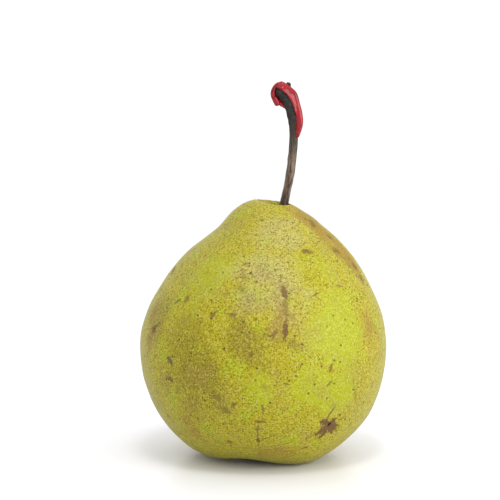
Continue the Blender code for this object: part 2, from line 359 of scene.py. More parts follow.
# Scars, where the bark rubbed the skin or it split and healed over with brown cork.
# Each is: direction, height, length, width and turn of its long axis, then its depth
# of colour. The first ones are the star-shaped split low on the right.
SCARS = (
    (-54.9, 16.2, 5.4, 4.6, 0, 1.0),
    (-57.8, 14.9, 6.4, 2.2, 33, 1.0),
    (-56.3, 13.9, 5.4, 1.9, 65, 1.0),
    (-52.4, 15.5, 5.4, 3.2, -19, 1.0),
    (-53.0, 14.7, 4.4, 2.0, -47, 1.0),
    (-57.2, 17.4, 5.4, 2.4, -27, 1.0),
    (-53.6, 17.4, 3.4, 1.6, 46, 1.0),
    (-56.0, 21.0, 5.8, 0.55, 63, 0.8),
    (-48.5, 18.0, 2.8, 0.5, 20, 0.7),
    (-80.3, 60.3, 3.9, 1.9, -82, 0.85),
    (-80.3, 48.8, 5.8, 1.7, -98, 0.95),
    (-85.5, 47.8, 3.6, 1.1, 57, 0.6),
    (-60.5, 72.5, 3.2, 1.8, 0, 0.75),
    (-62.8, 59.5, 2.7, 0.6, 21, 0.7),
    (-46.0, 61.5, 3.2, 0.8, -12, 0.55),
    (-104.5, 69.0, 1.7, 0.7, 31, 0.7),
    (-133.0, 57.5, 2.2, 1.4, 96, 0.7),
    (-138.5, 56.5, 3.0, 1.2, 44, 0.65),
    (-115.0, 53.3, 2.8, 1.4, 54, 0.7),
    (-106.0, 53.8, 4.2, 0.8, -6, 0.6),
    (-150.5, 46.5, 3.6, 2.3, 5, 0.8),
    (-147.5, 48.3, 2.6, 1.2, 50, 0.7),
    (-135.0, 37.8, 3.7, 1.6, -43, 0.85),
    (-135.0, 31.3, 2.8, 1.6, -35, 0.8),
    (-95.5, 41.5, 2.6, 1.1, 60, 0.65),
    (-103.5, 25.0, 2.2, 1.3, 30, 0.7),
    (-90.5, 24.0, 2.5, 0.9, -85, 0.7),
    (-91.8, 19.3, 3.4, 0.9, -4, 0.85),
    (-93.3, 11.8, 3.2, 1.2, -82, 0.85),
    (-109.5, 10.5, 2.3, 1.2, 43, 0.7),
    (-59.0, 36.4, 2.7, 0.9, 67, 0.75),
    (-59.5, 31.0, 2.6, 0.9, 44, 0.65),
    (-80.0, 32.0, 2.0, 0.6, -16, 0.7),
    (-65.5, 8.7, 2.5, 0.9, 27, 0.8),
)
# Thin stains, where the cork has only begun to form, in the same terms.
STAINS = (
    (-79.9, 56.2, 6.4, 1.9, -92, 0.6),
    (-79.8, 52.2, 4.0, 1.0, -94, 0.5),
    (-76.0, 44.5, 6.0, 2.8, -20, 0.5),
    (-103.5, 65.5, 6.0, 1.8, -68, 0.45),
    (-103.0, 61.5, 3.6, 2.6, -59, 0.5),
    (-111.0, 59.8, 3.6, 1.6, 21, 0.4),
    (-131.5, 28.3, 3.0, 1.8, -67, 0.45),
    (-108.0, 23.0, 4.6, 2.6, -25, 0.75),
    (-111.0, 27.2, 4.4, 3.0, -30, 0.6),
    (-89.5, 31.0, 2.4, 1.8, -54, 0.45),
    (-93.0, 15.9, 9.0, 0.7, -93, 0.75),
    (-116.0, 10.0, 4.0, 0.45, -46, 0.6),
    (-65.5, 12.6, 1.8, 1.6, 31, 0.45),
    (-87.5, 13.3, 4.8, 0.35, 28, 0.5),
    (-45.5, 31.0, 3.4, 0.9, -74, 0.45),
    (-43.0, 26.3, 7.0, 0.9, -65, 0.45),
    (-29.0, 82.0, 4.0, 2.4, -30, 0.8),
    (-33.5, 80.5, 2.8, 2.6, 0, 0.9),
    (-23.5, 76.0, 3.4, 2.6, -51, 0.85),
    (-31.0, 72.0, 3.6, 2.4, -9, 0.8),
    (-20.5, 66.5, 3.4, 3.0, -68, 0.85),
    (-21.5, 62.5, 4.0, 2.6, -106, 0.9),
    (-28.5, 67.0, 3.0, 2.0, -46, 0.5),
    (-145.0, 17.7, 2.4, 1.8, 11, 0.5),
    (-165.0, 58.5, 3.2, 2.4, 49, 0.6),
)
# The open crack in the star-shaped split, its near-black colour a painted shade for the depth of the
# slit.
CRACKS = ((-54.7, 16.6, 2.2, 0.8, 50, 1.0), (-150.0, 46.8, 1.6, 0.5, 20, 0.7))
# More scars and stains on the sides and the back: how many of each, and their sizes.
BACK_DIRECTIONS = (-32.0, 195.0)
BACK_HEIGHTS = (7.0, 76.0)
BACK_SCARS = 26
BACK_STAINS = 30
SCAR_LENGTHS = (1.4, 4.8)
SCAR_SLIMNESS = (0.2, 0.6)
SCAR_DEPTHS = (0.55, 0.95)
STAIN_LENGTHS = (2.0, 7.0)
STAIN_SLIMNESS = (0.25, 0.75)
STAIN_DEPTHS = (0.3, 0.6)
MARK_DEPTH_INTO_FRUIT = 9.0
MARK_SPREAD = 1.5
MARK_MARGIN = 1.6
FAR_FROM_MARKS = 6.0
# A patch of colour fades out between these shares of its reach.
PATCH_FADE = (0.25, 1.1)

# Broad patches of colour, in the same terms, each fading out to its full size.
LIME_PATCHES = (
    (-54.0, 48.0, 40.0, 30.0, 80, 1.0),
    (-62.0, 29.0, 36.0, 24.0, -9, 0.9),
    (-93.0, 31.0, 20.0, 14.0, -63, 0.6),
    (-123.0, 66.0, 30.0, 22.0, 60, 0.55),
    (-130.0, 51.0, 26.0, 16.0, 60, 0.5),
    (-60.0, 66.0, 26.0, 22.0, 0, 0.5),
    (35.0, 40.0, 34.0, 26.0, 70, 0.7),
    (95.0, 55.0, 36.0, 26.0, 20, 0.7),
    (150.0, 30.0, 34.0, 24.0, -40, 0.6),
)
OLIVE_PATCHES = (
    (-124.0, 38.0, 54.0, 38.0, -76, 0.75),
    (-99.0, 46.0, 34.0, 26.0, -20, 0.65),
    (-89.0, 60.0, 30.0, 26.0, -30, 0.6),
    (-150.0, 50.0, 30.0, 20.0, 90, 0.7),
    (70.0, 30.0, 36.0, 26.0, 30, 0.6),
    (170.0, 60.0, 30.0, 24.0, 0, 0.6),
)
RUSSET_PATCHES = (
    (-24.0, 74.0, 44.0, 17.0, -82, 0.9),
    (-28.0, 83.0, 22.0, 14.0, -60, 0.7),
    (-40.0, 87.4, 13.0, 12.0, 0, 0.7),
    (110.0, 87.3, 22.0, 14.0, 0, 0.75),
    (-84.0, 55.0, 26.0, 18.0, -60, 0.32),
    (-104.0, 63.5, 14.0, 7.0, -74, 0.3),
    (-30.0, 47.0, 34.0, 16.0, -84, 0.4),
    (-155.0, 47.0, 26.0, 12.0, 90, 0.4),
    (-130.0, 16.5, 22.0, 18.0, -36, 0.35),
    (-87.0, 6.5, 46.0, 9.0, 0, 0.35),
    (45.0, 72.0, 26.0, 16.0, -60, 0.6),
    (110.0, 20.0, 30.0, 18.0, 15, 0.4),
    (165.0, 78.0, 24.0, 12.0, 20, 0.5),
)

# A pale, dry bloom over the shoulders. Over the upper front it is also a painted highlight, the sheen
# of the soft box above, and the pale patch behind the stem is painted light that lifts the shade on
# the back wall of the stem cavity.
BLOOM_AND_SHEEN_PATCHES = (
    (-88.0, 63.0, 44.0, 34.0, -40, 0.8),
    (-80.0, 78.0, 34.0, 24.0, 0, 0.7),
    (60.0, 70.0, 30.0, 24.0, 0, 0.5),
    (120.0, 87.4, 20.0, 14.0, 0, 0.9),
)

LIME_SKIN = "#9ca00c"
YELLOW_SKIN = "#9f9512"
OLIVE_SKIN = "#877b0c"
RUSSET = "#8c6e2a"
FINE_SPECK = "#5c4e16"
# Painted glints: pale specks that stand in for the small highlights on the skin's fine bumps.
PAINTED_GLINT = "#d2ca84"
LENTICEL = "#3f3d14"
SCAR_CORK = "#654a2b"
STAIN_CORK = "#604b22"
# The painted shade inside the open cracks.
CRACK_SHADE = "#22150b"
# The pale of the bloom, also used for the painted sheen and the painted light in the stem cavity.
BLOOM_AND_SHEEN = "#b9b088"
# How many spots of each pattern lie along one millimetre of skin.
RAGGED_PER_MM = 1.1
DRIFTS_PER_MM = 0.12
TONES_PER_MM = 0.16
GRAINS_PER_MM = 1.5
FINE_GRAINS_PER_MM = 1.7
SPECKS_PER_MM = 1.4
PORES_PER_MM = 0.48
SKIN_BUMP_HEIGHT = 0.14

# What the shader nodes below do with their values.
STEP = {"interpolation_type": "SMOOTHSTEP"}
TIMES = {"operation": "MULTIPLY"}
PLUS = {"operation": "ADD"}
MOST = {"operation": "MAXIMUM"}
LAID_OVER = {"data_type": "RGBA", "output": 2}

SEED = 11
seeded = random.Random(SEED)
noise.seed_set(SEED)


def back_marks(count, lengths, slimness, depths):
    """Marks strewn at random over the sides and the back."""
    marks = []
    for _ in range(count):
        length = seeded.uniform(*lengths)
        marks.append(
            (
                seeded.uniform(*BACK_DIRECTIONS),
                seeded.uniform(*BACK_HEIGHTS),
                length,
                length * seeded.uniform(*slimness),
                seeded.uniform(-90.0, 90.0),
                seeded.uniform(*depths),
            )
        )
    return marks


def spaced_layers(marks):
    """The marks sorted into layers in which no two of them come near each other."""
    layers = []
    for mark in marks:
        for layer in layers:
            if all(gap_between(mark, other) > 0.0 for other in layer):
                break
        else:
            layer = []
            layers.append(layer)
        layer.append(mark)
    return layers


def reach_round(mark):
    """How far from its middle a mark's own coordinates are kept on the skin."""
    return MARK_SPREAD * mark[2] / 2.0 + MARK_MARGIN


def gap_between(mark, other):
    apart = (skin_place(*mark[:2]) - skin_place(*other[:2])).length
    return apart - reach_round(mark) - reach_round(other)


def in_mark(points, mark):
    """The points in a mark's own coordinates, its rim at a distance of 1 from its middle."""
    direction, height, length, width, turn, _ = mark
    into = np.array(mark_frame(direction, height, turn).inverted())
    local = points @ into[:3, :3].T + into[:3, 3]
    return local / (length / 2.0, width / 2.0, MARK_DEPTH_INTO_FRUIT)


def patch_amounts(points, rows):
    """How strongly these broad patches colour each point."""
    amounts = np.zeros(len(points))
    for patch in rows:
        reach = np.linalg.norm(in_mark(points, patch), axis=1)
        amounts = np.maximum(amounts, patch[5] * (1.0 - smoothstep(*PATCH_FADE, reach)))
    return amounts


def write_attribute(mesh, name, kind, values):
    """Keeps a value, or a vector, for each point of the mesh."""
    attribute = mesh.attributes.new(name, kind, "POINT")
    field = "vector" if kind == "FLOAT_VECTOR" else "value"
    attribute.data.foreach_set(field, np.asarray(values, np.float32).ravel())


def write_marks(mesh, points, name, layers):
    """Keeps, for each layer, the points in their nearest mark's own coordinates."""
    for number, layer in enumerate(layers):
        places = np.tile((0.0, 0.0, FAR_FROM_MARKS), (len(points), 1))
        depths = np.zeros(len(points))
        for mark in layer:
            middle = np.array(skin_place(*mark[:2]))
            near = np.linalg.norm(points - middle, axis=1) < reach_round(mark)
            places[near] = in_mark(points[near], mark) * (1.0, 1.0, 0.0)
            depths[near] = mark[5]
        write_attribute(mesh, f"{name}_place_{number}", "FLOAT_VECTOR", places)
        write_attribute(mesh, f"{name}_depth_{number}", "FLOAT", depths)


def strongest_mark(tree, name, layers, ragged, low, high):
    """The strongest mark at each place: its depth inside it, 0 on clear skin."""
    strongest = 0.0
    for number in range(len(layers)):
        place = {"output": "Vector", "attribute_name": f"{name}_place_{number}"}
        depth = {"output": "Fac", "attribute_name": f"{name}_depth_{number}"}
        place = add_node(tree, "Attribute", {}, **place)
        depth = add_node(tree, "Attribute", {}, **depth)
        reach = add_node(tree, "VectorMath", {0: place}, output="Value", operation="LENGTH")
        reach = add_node(tree, "Math", {0: reach, 1: ragged}, **PLUS)
        inside = add_node(tree, "MapRange", {0: reach, 1: high, 2: low}, **STEP)
        inside = add_node(tree, "Math", {0: inside, 1: depth}, **TIMES)
        strongest = add_node(tree, "Math", {0: strongest, 1: inside}, **MOST)
    return strongest


scars = SCARS + tuple(back_marks(BACK_SCARS, SCAR_LENGTHS, SCAR_SLIMNESS, SCAR_DEPTHS))
stains = STAINS + tuple(back_marks(BACK_STAINS, STAIN_LENGTHS, STAIN_SLIMNESS, STAIN_DEPTHS))
patches = {
    "lime": LIME_PATCHES,
    "olive": OLIVE_PATCHES,
    "russet": RUSSET_PATCHES,
    "bloom_and_sheen": BLOOM_AND_SHEEN_PATCHES,
}
layers = {
    "scar": spaced_layers(scars),
    "stain": spaced_layers(stains),
    "crack": spaced_layers(CRACKS),
}

# Ripe pear skin: a thin natural wax over green and yellow cells, dusted with corky
# specks and dotted with breathing pores. It shines softly and looks finely grained.
skin, tree, shader = new_material("waxy_pear_skin")
shader.inputs["Specular IOR Level"].default_value = 0.18
place = add_node(tree, "TexCoord", {}, output="Object")
mm = add_node(tree, "VectorMath", {0: place, "Scale": 1.0 / METRES_PER_MM}, operation="SCALE")
torn = {"Vector": mm, "Scale": RAGGED_PER_MM, "Detail": 3.0, "Roughness": 0.7}
rough = add_node(tree, "TexNoise", torn)
ragged = add_node(tree, "MapRange", {0: rough, 1: 0.25, 2: 0.75, 3: -0.55, 4: 0.55}, **STEP)
scar = strongest_mark(tree, "scar", layers["scar"], ragged, 0.8, 1.2)
stain = strongest_mark(tree, "stain", layers["stain"], ragged, 0.4, 1.4)
crack = strongest_mark(tree, "crack", layers["crack"], ragged, 0.7, 1.3)
broad = add_node(tree, "TexNoise", {"Vector": mm, "Scale": DRIFTS_PER_MM, "Detail": 4.0})
drift = add_node(tree, "MapRange", {0: broad, 1: 0.3, 2: 0.7, 3: -0.3, 4: 0.3}, **STEP)
drifted = []
for name in patches:
    amount = add_node(tree, "Attribute", {}, output="Fac", attribute_name=name)
    drifted.append(add_node(tree, "Math", {0: amount, 1: drift}, **PLUS))
lime = add_node(tree, "MapRange", {0: drifted[0], 1: 0.1, 2: 0.8}, **STEP)
olive = add_node(tree, "MapRange", {0: drifted[1], 1: 0.1, 2: 0.9}, **STEP)
russet = drifted[2]
# Bloom and painted light: pale where the bloom lies, where the soft box's highlight is painted on, and
# on the cavity's shaded back wall.
bloom_and_sheen = add_node(tree, "MapRange", {0: drifted[3], 1: 0.0, 2: 1.0, 4: 0.3}, **STEP)

tone = add_node(tree, "TexNoise", {"Vector": mm, "Scale": TONES_PER_MM, "Detail": 4.0})
grain = add_node(tree, "TexNoise", {"Vector": mm, "Scale": GRAINS_PER_MM, "Detail": 3.0})
fine = add_node(tree, "TexNoise", {"Vector": mm, "Scale": FINE_GRAINS_PER_MM, "Detail": 1.0})

green = add_node(tree, "MapRange", {0: tone, 1: 0.52, 2: 0.68}, **STEP)
green = add_node(tree, "Math", {0: lime, 1: green}, **MOST)
colour = add_node(tree, "Mix", {0: green, 6: linear(YELLOW_SKIN), 7: linear(LIME_SKIN)}, **LAID_OVER)
# Pale specks over the fine grain are painted glints, the small highlights of the waxy skin's bumps
# painted into its colour.
pale = add_node(tree, "MapRange", {0: fine, 1: 0.5, 2: 0.7, 3: 0.0, 4: 0.28}, **STEP)
for amount, tint in ((olive, OLIVE_SKIN), (bloom_and_sheen, BLOOM_AND_SHEEN), (pale, PAINTED_GLINT)):
    colour = add_node(tree, "Mix", {0: amount, 6: colour, 7: linear(tint)}, **LAID_OVER)

# Corky specks half a millimetre across and less than one apart, coarser than real ones
# so that they show. They lie thickest where the skin is least green.
crowding = add_node(tree, "MapRange", {0: lime, 1: 0.1, 2: 0.9, 3: 1.0, 4: 0.4}, **STEP)
dark = add_node(tree, "MapRange", {0: fine, 1: 0.5, 2: 0.28, 3: 0.0, 4: 0.5}, **STEP)
dark = add_node(tree, "Math", {0: dark, 1: crowding}, **TIMES)
specks = add_node(tree, "TexVoronoi", {"Vector": mm, "Scale": SPECKS_PER_MM})
chance = add_node(tree, "SeparateColor", {0: specks.node.outputs["Color"]})
likely = add_node(tree, "MapRange", {0: chance, 1: 0.1, 2: 0.75}, **STEP)
crowded = add_node(tree, "MapRange", {0: grain, 1: 0.35, 2: 0.55, 3: 0.35, 4: 1.0}, **STEP)
speck = add_node(tree, "MapRange", {0: specks, 1: 0.48, 2: 0.22}, **STEP)
for amount in (likely, crowded, crowding):
    speck = add_node(tree, "Math", {0: speck, 1: amount}, **TIMES)
dark = add_node(tree, "Math", {0: dark, 1: speck}, **MOST)
colour = add_node(tree, "Mix", {0: dark, 6: colour, 7: linear(FINE_SPECK)}, **LAID_OVER)

# Russet: a thin cork layer that breaks up into grains where it ends.
broken = add_node(tree, "MapRange", {0: grain, 1: 0.35, 2: 0.65, 3: -0.3, 4: 0.25}, **STEP)
cork = add_node(tree, "Math", {0: russet, 1: broken}, **PLUS)
cork = add_node(tree, "MapRange", {0: cork, 1: 0.12, 2: 0.9, 4: 0.85}, **STEP)
colour = add_node(tree, "Mix", {0: cork, 6: colour, 7: linear(RUSSET)}, **LAID_OVER)

# Breathing pores: some three quarters of a millimetre across and two apart, dark in
# the middle.
pores = add_node(tree, "TexVoronoi", {"Vector": mm, "Scale": PORES_PER_MM})
chance = add_node(tree, "SeparateColor", {0: pores.node.outputs["Color"]})
likely = add_node(tree, "MapRange", {0: chance, 1: 0.35, 2: 1.0}, **STEP)
pore = add_node(tree, "MapRange", {0: pores, 1: 0.24, 2: 0.12, 4: 0.9}, **STEP)
pore = add_node(tree, "Math", {0: pore, 1: likely}, **TIMES)
colour = add_node(tree, "Mix", {0: pore, 6: colour, 7: linear(LENTICEL)}, **LAID_OVER)

stain_grain = add_node(tree, "MapRange", {0: fine, 1: 0.3, 2: 0.6, 3: 0.45, 4: 1.0}, **STEP)
stain_grain = add_node(tree, "Math", {0: stain, 1: stain_grain}, **TIMES)
scar_grain = add_node(tree, "MapRange", {0: fine, 1: 0.25, 2: 0.5, 3: 0.75, 4: 1.0}, **STEP)
scar_grain = add_node(tree, "Math", {0: scar, 1: scar_grain}, **TIMES)
# Cork browns for the stains and scars, and painted shade, near-black, in the open cracks.
for amount, tint in ((stain_grain, STAIN_CORK), (scar_grain, SCAR_CORK), (crack, CRACK_SHADE)):
    colour = add_node(tree, "Mix", {0: amount, 6: colour, 7: linear(tint)}, **LAID_OVER)
tree.links.new(colour, shader.inputs["Base Color"])

dry = add_node(tree, "Math", {0: cork, 1: scar}, **MOST)
dull = add_node(tree, "MapRange", {0: dry, 1: 0.0, 2: 1.0, 3: 0.43, 4: 0.65}, **STEP)
tree.links.new(dull, shader.inputs["Roughness"])

# Grains and specks stand up, pores and scars sink; each by its share of the bump.
relief = 0.0
for part, share in ((speck, 0.35), (pore, -1.0), (fine, 1.5), (scar_grain, -0.9)):
    part = add_node(tree, "Math", {0: part, 1: share}, **TIMES)
    relief = add_node(tree, "Math", {0: relief, 1: part}, **PLUS)
bump_height = SKIN_BUMP_HEIGHT * METRES_PER_MM
bumps = add_node(tree, "Bump", {"Height": relief, "Strength": 0.8, "Distance": bump_height})
tree.links.new(bumps, shader.inputs["Normal"])

# The skin's own relief, in millimetres: slow swellings and small dimples, each with its
# height and size, furrows that run into the two hollows at its ends, wandering by so
# many radians over so many millimetres, and scars that sink or crack.
SWELLING = (0.30, 17.0)
DIMPLES = (0.10, 5.5)
FURROWS = 11
FURROW_DEPTH = 0.22
FURROW_WANDER = (2.5, 9.0)
CROWN_FURROW_RADII = (7.5, 4.0)
BASIN_FURROW_RADII = (15.0, 7.0)
SOCKET_FURROW_RADII = (0.5, 2.9)
SCAR_SINK = 0.16
CRACK_SINK = 0.45
SINK_EDGE = (0.5, 1.3)
STANDING_HEIGHT = (0.3, 3.0)


def noise_at(points, size):
    return np.array([noise.noise(Vector(point) / size) for point in points])


def mark_sink(points, marks, sink):
    """How far these marks sink each point of the skin."""
    depth = np.zeros(len(points))
    for mark in marks:
        reach = np.linalg.norm(in_mark(points, mark), axis=1)
        depth = np.maximum(depth, sink * mark[5] * (1.0 - smoothstep(*SINK_EDGE, reach)))
    return depth


fruit = add_piece("fruit_skin", turned(outline, FRUIT_SIDES), skin, scale=1.0)
even = read_points(fruit.data)
points = fruit_places(even)
write_points(fruit.data, points)
normals = np.empty(len(points) * 3, np.float32)
fruit.data.vertex_normals.foreach_get("vector", normals)
normals = normals.reshape(-1, 3)
radius = np.hypot(even[:, 0], even[:, 1])
angle = np.arctan2(even[:, 1], even[:, 0])
near_crown = smoothstep(*CROWN_FURROW_RADII, radius)
near_basin = smoothstep(*BASIN_FURROW_RADII, radius)
near_end = np.where(even[:, 2] > LEAN_FROM, near_crown, near_basin)
near_end *= smoothstep(*SOCKET_FURROW_RADII, radius)
raised = SWELLING[0] * noise_at(points, SWELLING[1]) + DIMPLES[0] * noise_at(points, DIMPLES[1])
raised *= 1.0 - near_end
furrow_turn = FURROWS * angle + FURROW_WANDER[0] * noise_at(points, FURROW_WANDER[1])
raised += FURROW_DEPTH * near_end * np.cos(furrow_turn)
raised -= mark_sink(points, scars, SCAR_SINK) + mark_sink(points, CRACKS, CRACK_SINK)
raised *= smoothstep(*STANDING_HEIGHT, points[:, 2])
points += normals * raised[:, None]
points[:, 2] = np.maximum(points[:, 2], 0.0)
write_points(fruit.data, points * METRES_PER_MM)
for name, spaced in layers.items():
    write_marks(fruit.data, points, name, spaced)
for name, rows in patches.items():
    write_attribute(fruit.data, name, "FLOAT", patch_amounts(points, rows))
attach(fruit, "root")
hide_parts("fruit")


# ---- The stem -------------------------------------------------------------------
# The woody stalk that the pear hung by, grown out of its crown: ridged dark bark that
# swells to a knobbly head, where it broke off the spur and weathered almost black.

# The stem's line as (x, height, radius); it grows in one plane, STEM_Y back.
STEM_LINE = (
    (*FOOT_LOW, 1.6),
    (*FOOT_HIGH, 1.6),
    (7.6, 87.9, 1.5),
    (8.8, 93.4, 1.36),
    (9.7, 98.4, 1.5),
    (10.3, 103.3, 1.45),
    (10.7, 108.1, 1.52),
    (10.8, 112.4, 1.63),
    (10.7, 116.3, 2.0),
    (10.2, 119.2, 2.2),
    (9.0, 122.6, 2.45),
    (6.8, 125.5, 2.75),
)
STEM_STEPS = 14
STEM_SIDES = 64
ROUNDING_STEPS = 14
ROUNDING_LENGTH = 0.8
# The lumpy head begins and is full at these distances up the stem.
HEAD_LENGTHS = (30.0, 40.0)
# Relief: how far it stands out, how many turns of it go round, and its length along.
RIDGES = (0.13, 1.1, 7.0)
FIBRES = (0.06, 3.2, 3.0)
HEAD_LUMPS = (0.22, 1.7)
GRAIN_STRETCH = 0.16
# Each knot: how far up the stem, in which direction, its size and how far it stands out.
KNOTS = (
    (15.5, -60.0, 2.2, 0.20),
    (21.0, -150.0, 1.6, 0.14),
    (24.0, 100.0, 2.0, 0.22),
    (31.0, -175.0, 2.2, 0.25),
    (11.0, 160.0, 1.8, 0.15),
)
# The broken twig end that sticks out of the head, as (x, y, height, radius).
TWIG_END = ((7.6, 2.9, 125.6, 1.1), (8.5, 2.6, 127.0, 1.05), (8.95, 2.4, 127.9, 0.85))
TWIG_STEPS = 6
TWIG_SIDES = 20
# How far the twig's broken surface is pushed about, and over what length.
TWIG_ROUGH = (0.22, 0.5)
BARK_BROWN = "#453526"
BARK_GREY = "#7c6c5e"
BARK_FOOT = "#332a23"
HEAD_BLACK = "#26241f"
HEAD_GREY = "#413f37"
BARK_CRACK = "#120d0a"
# How many of each pattern's marks lie along one millimetre across the bark.
FIBRES_PER_MM = 2.4
BLOTCHES_PER_MM = 0.9
HAIRLINES_PER_MM = 5.0
BARK_BUMP_HEIGHT = 0.2
# Where along the stem the ridges begin and cease to be worn, how far up its foot is
# dark, and where the black of its head sets in, give or take the wander.
WORN_STRETCHES = ((9.0, 16.0), (30.0, 22.0))
DARK_FOOT = (14.0, 5.0)
BLACK_HEAD = (21.0, 38.0)
HEAD_WANDER = 4.0


def rings_along(centres, radii, rounding_steps):
    """A tube's (centre, direction, radius) along these centres, its far end rounded."""
    lasts = centres[1:] + centres[-1:]
    firsts = centres[:1] + centres[:-1]
    rings = [
        (centre, (last - first).normalized(), radius)
        for centre, last, first, radius in zip(centres, lasts, firsts, radii)
    ]
    end, direction, radius = rings[-1]
    for step in range(1, rounding_steps + 1):
        angle = 0.5 * math.pi * step / rounding_steps
        centre = end + direction * radius * ROUNDING_LENGTH * math.sin(angle)
        rings.append((centre, direction, radius * math.cos(angle)))
    return rings


def stem_rings():
    line = curve_through(STEM_LINE, STEM_STEPS)
    centres = [Vector((point.x, STEM_Y, point.y)) for point in line]
    return rings_along(centres, [point.z for point in line], ROUNDING_STEPS)


def path_rings(path, steps, rounding_steps):
    """Rings along a path of (x, y, height, radius), rounded at both of its ends."""
    line = curve_through(path, steps)
    rings = rings_along([point.xyz for point in line], [point.w for point in line], rounding_steps)
    start, direction, radius = rings[0]
    for step in range(1, rounding_steps + 1):
        angle = 0.5 * math.pi * step / rounding_steps
        centre = start - direction * radius * ROUNDING_LENGTH * math.sin(angle)
        rings.insert(0, (centre, direction, radius * math.cos(angle)))
    return rings


def across_stem(centre, direction, radius):
    """Places a unit circle across the stem, its local X to the right and Y to the back."""
    right = Vector((0.0, 1.0, 0.0)).cross(direction).normalized()
    back = direction.cross(right)
    turn = Matrix((right, back, direction)).transposed().to_4x4()
    return Matrix.Translation(centre) @ turn @ Matrix.Scale(max(radius, MERGE_DISTANCE / 10.0), 4)


def only(items, kind):
    return [item for item in items if isinstance(item, kind)]


def add_tube(bm, rings, sides):
    """Adds a circle extruded from ring to ring, and returns each ring's vertices."""
    verts = bmesh.ops.create_circle(bm, segments=sides, radius=1.0)["verts"]
    edges = list({edge for vert in verts for edge in vert.link_edges})
    unit = [vert.co.copy() for vert in verts]
    layers = []
    for number, ring in enumerate(rings):
        if number:
            grown = bmesh.ops.extrude_edge_only(bm, edges=edges)["geom"]
            edges = only(grown, bmesh.types.BMEdge)
            verts = only(grown, bmesh.types.BMVert)
        place = across_stem(*ring)
        for vert, home in zip(verts, unit):
            vert.co = place @ home
        layers.append(verts)
    return layers


# Weathered stalk bark: matt, dry and fibrous, brown below and nearly black at its head,
# with pale worn ridges and dark hairline cracks running lengthwise.
bark, tree, shader = new_material("weathered_stalk_bark")
shader.inputs["Specular IOR Level"].default_value = 0.3
lengthwise = add_node(tree, "Attribute", {}, output="Vector", attribute_name="grain")
along = add_node(tree, "Attribute", {}, output="Fac", attribute_name="along")
fibres = add_node(tree, "TexNoise", {"Vector": lengthwise, "Scale": FIBRES_PER_MM, "Detail": 4.0})
spread = {"Vector": lengthwise, "Scale": BLOTCHES_PER_MM, "Detail": 3.0}
blotches = add_node(tree, "TexNoise", spread)
narrow = {"Vector": lengthwise, "Scale": HAIRLINES_PER_MM, "Detail": 2.0}
hairlines = add_node(tree, "TexNoise", narrow)
hairline = add_node(tree, "MapRange", {0: hairlines, 1: 0.42, 2: 0.34, 4: 0.8}, **STEP)
greyed = add_node(tree, "MapRange", {0: blotches, 1: 0.42, 2: 0.62}, **STEP)
colour = add_node(tree, "Mix", {0: greyed, 6: linear(BARK_BROWN), 7: linear(BARK_GREY)}, **LAID_OVER)
worn = add_node(tree, "MapRange", {0: fibres, 1: 0.45, 2: 0.62, 4: 0.7}, **STEP)
for low, high in WORN_STRETCHES:
    stretch = add_node(tree, "MapRange", {0: along, 1: low, 2: high}, **STEP)
    worn = add_node(tree, "Math", {0: worn, 1: stretch}, **TIMES)
colour = add_node(tree, "Mix", {0: worn, 6: colour, 7: linear(BARK_GREY)}, **LAID_OVER)
foot = add_node(tree, "MapRange", {0: along, 1: DARK_FOOT[0], 2: DARK_FOOT[1], 4: 0.85}, **STEP)
colour = add_node(tree, "Mix", {0: foot, 6: colour, 7: linear(BARK_FOOT)}, **LAID_OVER)
either_way = {0: blotches, 1: 0.3, 2: 0.7, 3: -HEAD_WANDER, 4: HEAD_WANDER}
wander = add_node(tree, "MapRange", either_way, **STEP)
headwards = add_node(tree, "Math", {0: along, 1: wander}, **PLUS)
head = add_node(tree, "MapRange", {0: headwards, 1: BLACK_HEAD[0], 2: BLACK_HEAD[1]}, **STEP)
worn = add_node(tree, "MapRange", {0: fibres, 1: 0.5, 2: 0.7}, **STEP)
dark = add_node(tree, "Mix", {0: worn, 6: linear(HEAD_BLACK), 7: linear(HEAD_GREY)}, **LAID_OVER)
colour = add_node(tree, "Mix", {0: head, 6: colour, 7: dark}, **LAID_OVER)
colour = add_node(tree, "Mix", {0: hairline, 6: colour, 7: linear(BARK_CRACK)}, **LAID_OVER)
tree.links.new(colour, shader.inputs["Base Color"])
dull = add_node(tree, "MapRange", {0: fibres, 1: 0.35, 2: 0.65, 3: 0.6, 4: 0.85}, **STEP)
tree.links.new(dull, shader.inputs["Roughness"])
sunk = add_node(tree, "Math", {0: hairline, 1: -0.75}, **TIMES)
relief = add_node(tree, "Math", {0: fibres, 1: sunk}, **PLUS)
bump_height = BARK_BUMP_HEIGHT * METRES_PER_MM
bumps = add_node(tree, "Bump", {"Height": relief, "Strength": 0.8, "Distance": bump_height})
tree.links.new(bumps, shader.inputs["Normal"])

rings = stem_rings()
bm = bmesh.new()
grain_layer = bm.verts.layers.float_vector.new("grain")
along_layer = bm.verts.layers.float.new("along")
rows = add_tube(bm, rings, STEM_SIDES)
bmesh.ops.contextual_create(bm, geom=rows[0])
travelled = 0.0
previous = rings[0]
for ring, verts in zip(rings, rows):
    travelled += math.hypot((ring[0] - previous[0]).length, ring[2] - previous[2])
    previous = ring
    centre, _, radius = ring
    headness = float(smoothstep(*HEAD_LENGTHS, travelled))
    for side, vert in enumerate(verts):
        angle = 2.0 * math.pi * side / STEM_SIDES
        across = Vector((math.cos(angle), math.sin(angle), 0.0))
        out = HEAD_LUMPS[0] * headness * noise.noise(vert.co / HEAD_LUMPS[1])
        for height, turns, length in (RIDGES, FIBRES):
            out += height * noise.noise(across * turns + Vector((0.0, 0.0, travelled / length)))
        for up, degrees, size, height in KNOTS:
            turn = math.remainder(angle - math.radians(degrees), 2.0 * math.pi) * radius
            out += height * float(bump(math.hypot(travelled - up, turn), size))
        vert[grain_layer] = across * radius + Vector((0.0, 0.0, travelled * GRAIN_STRETCH))
        vert[along_layer] = travelled
        vert.co += (vert.co - centre).normalized() * out * min(radius, 1.0)
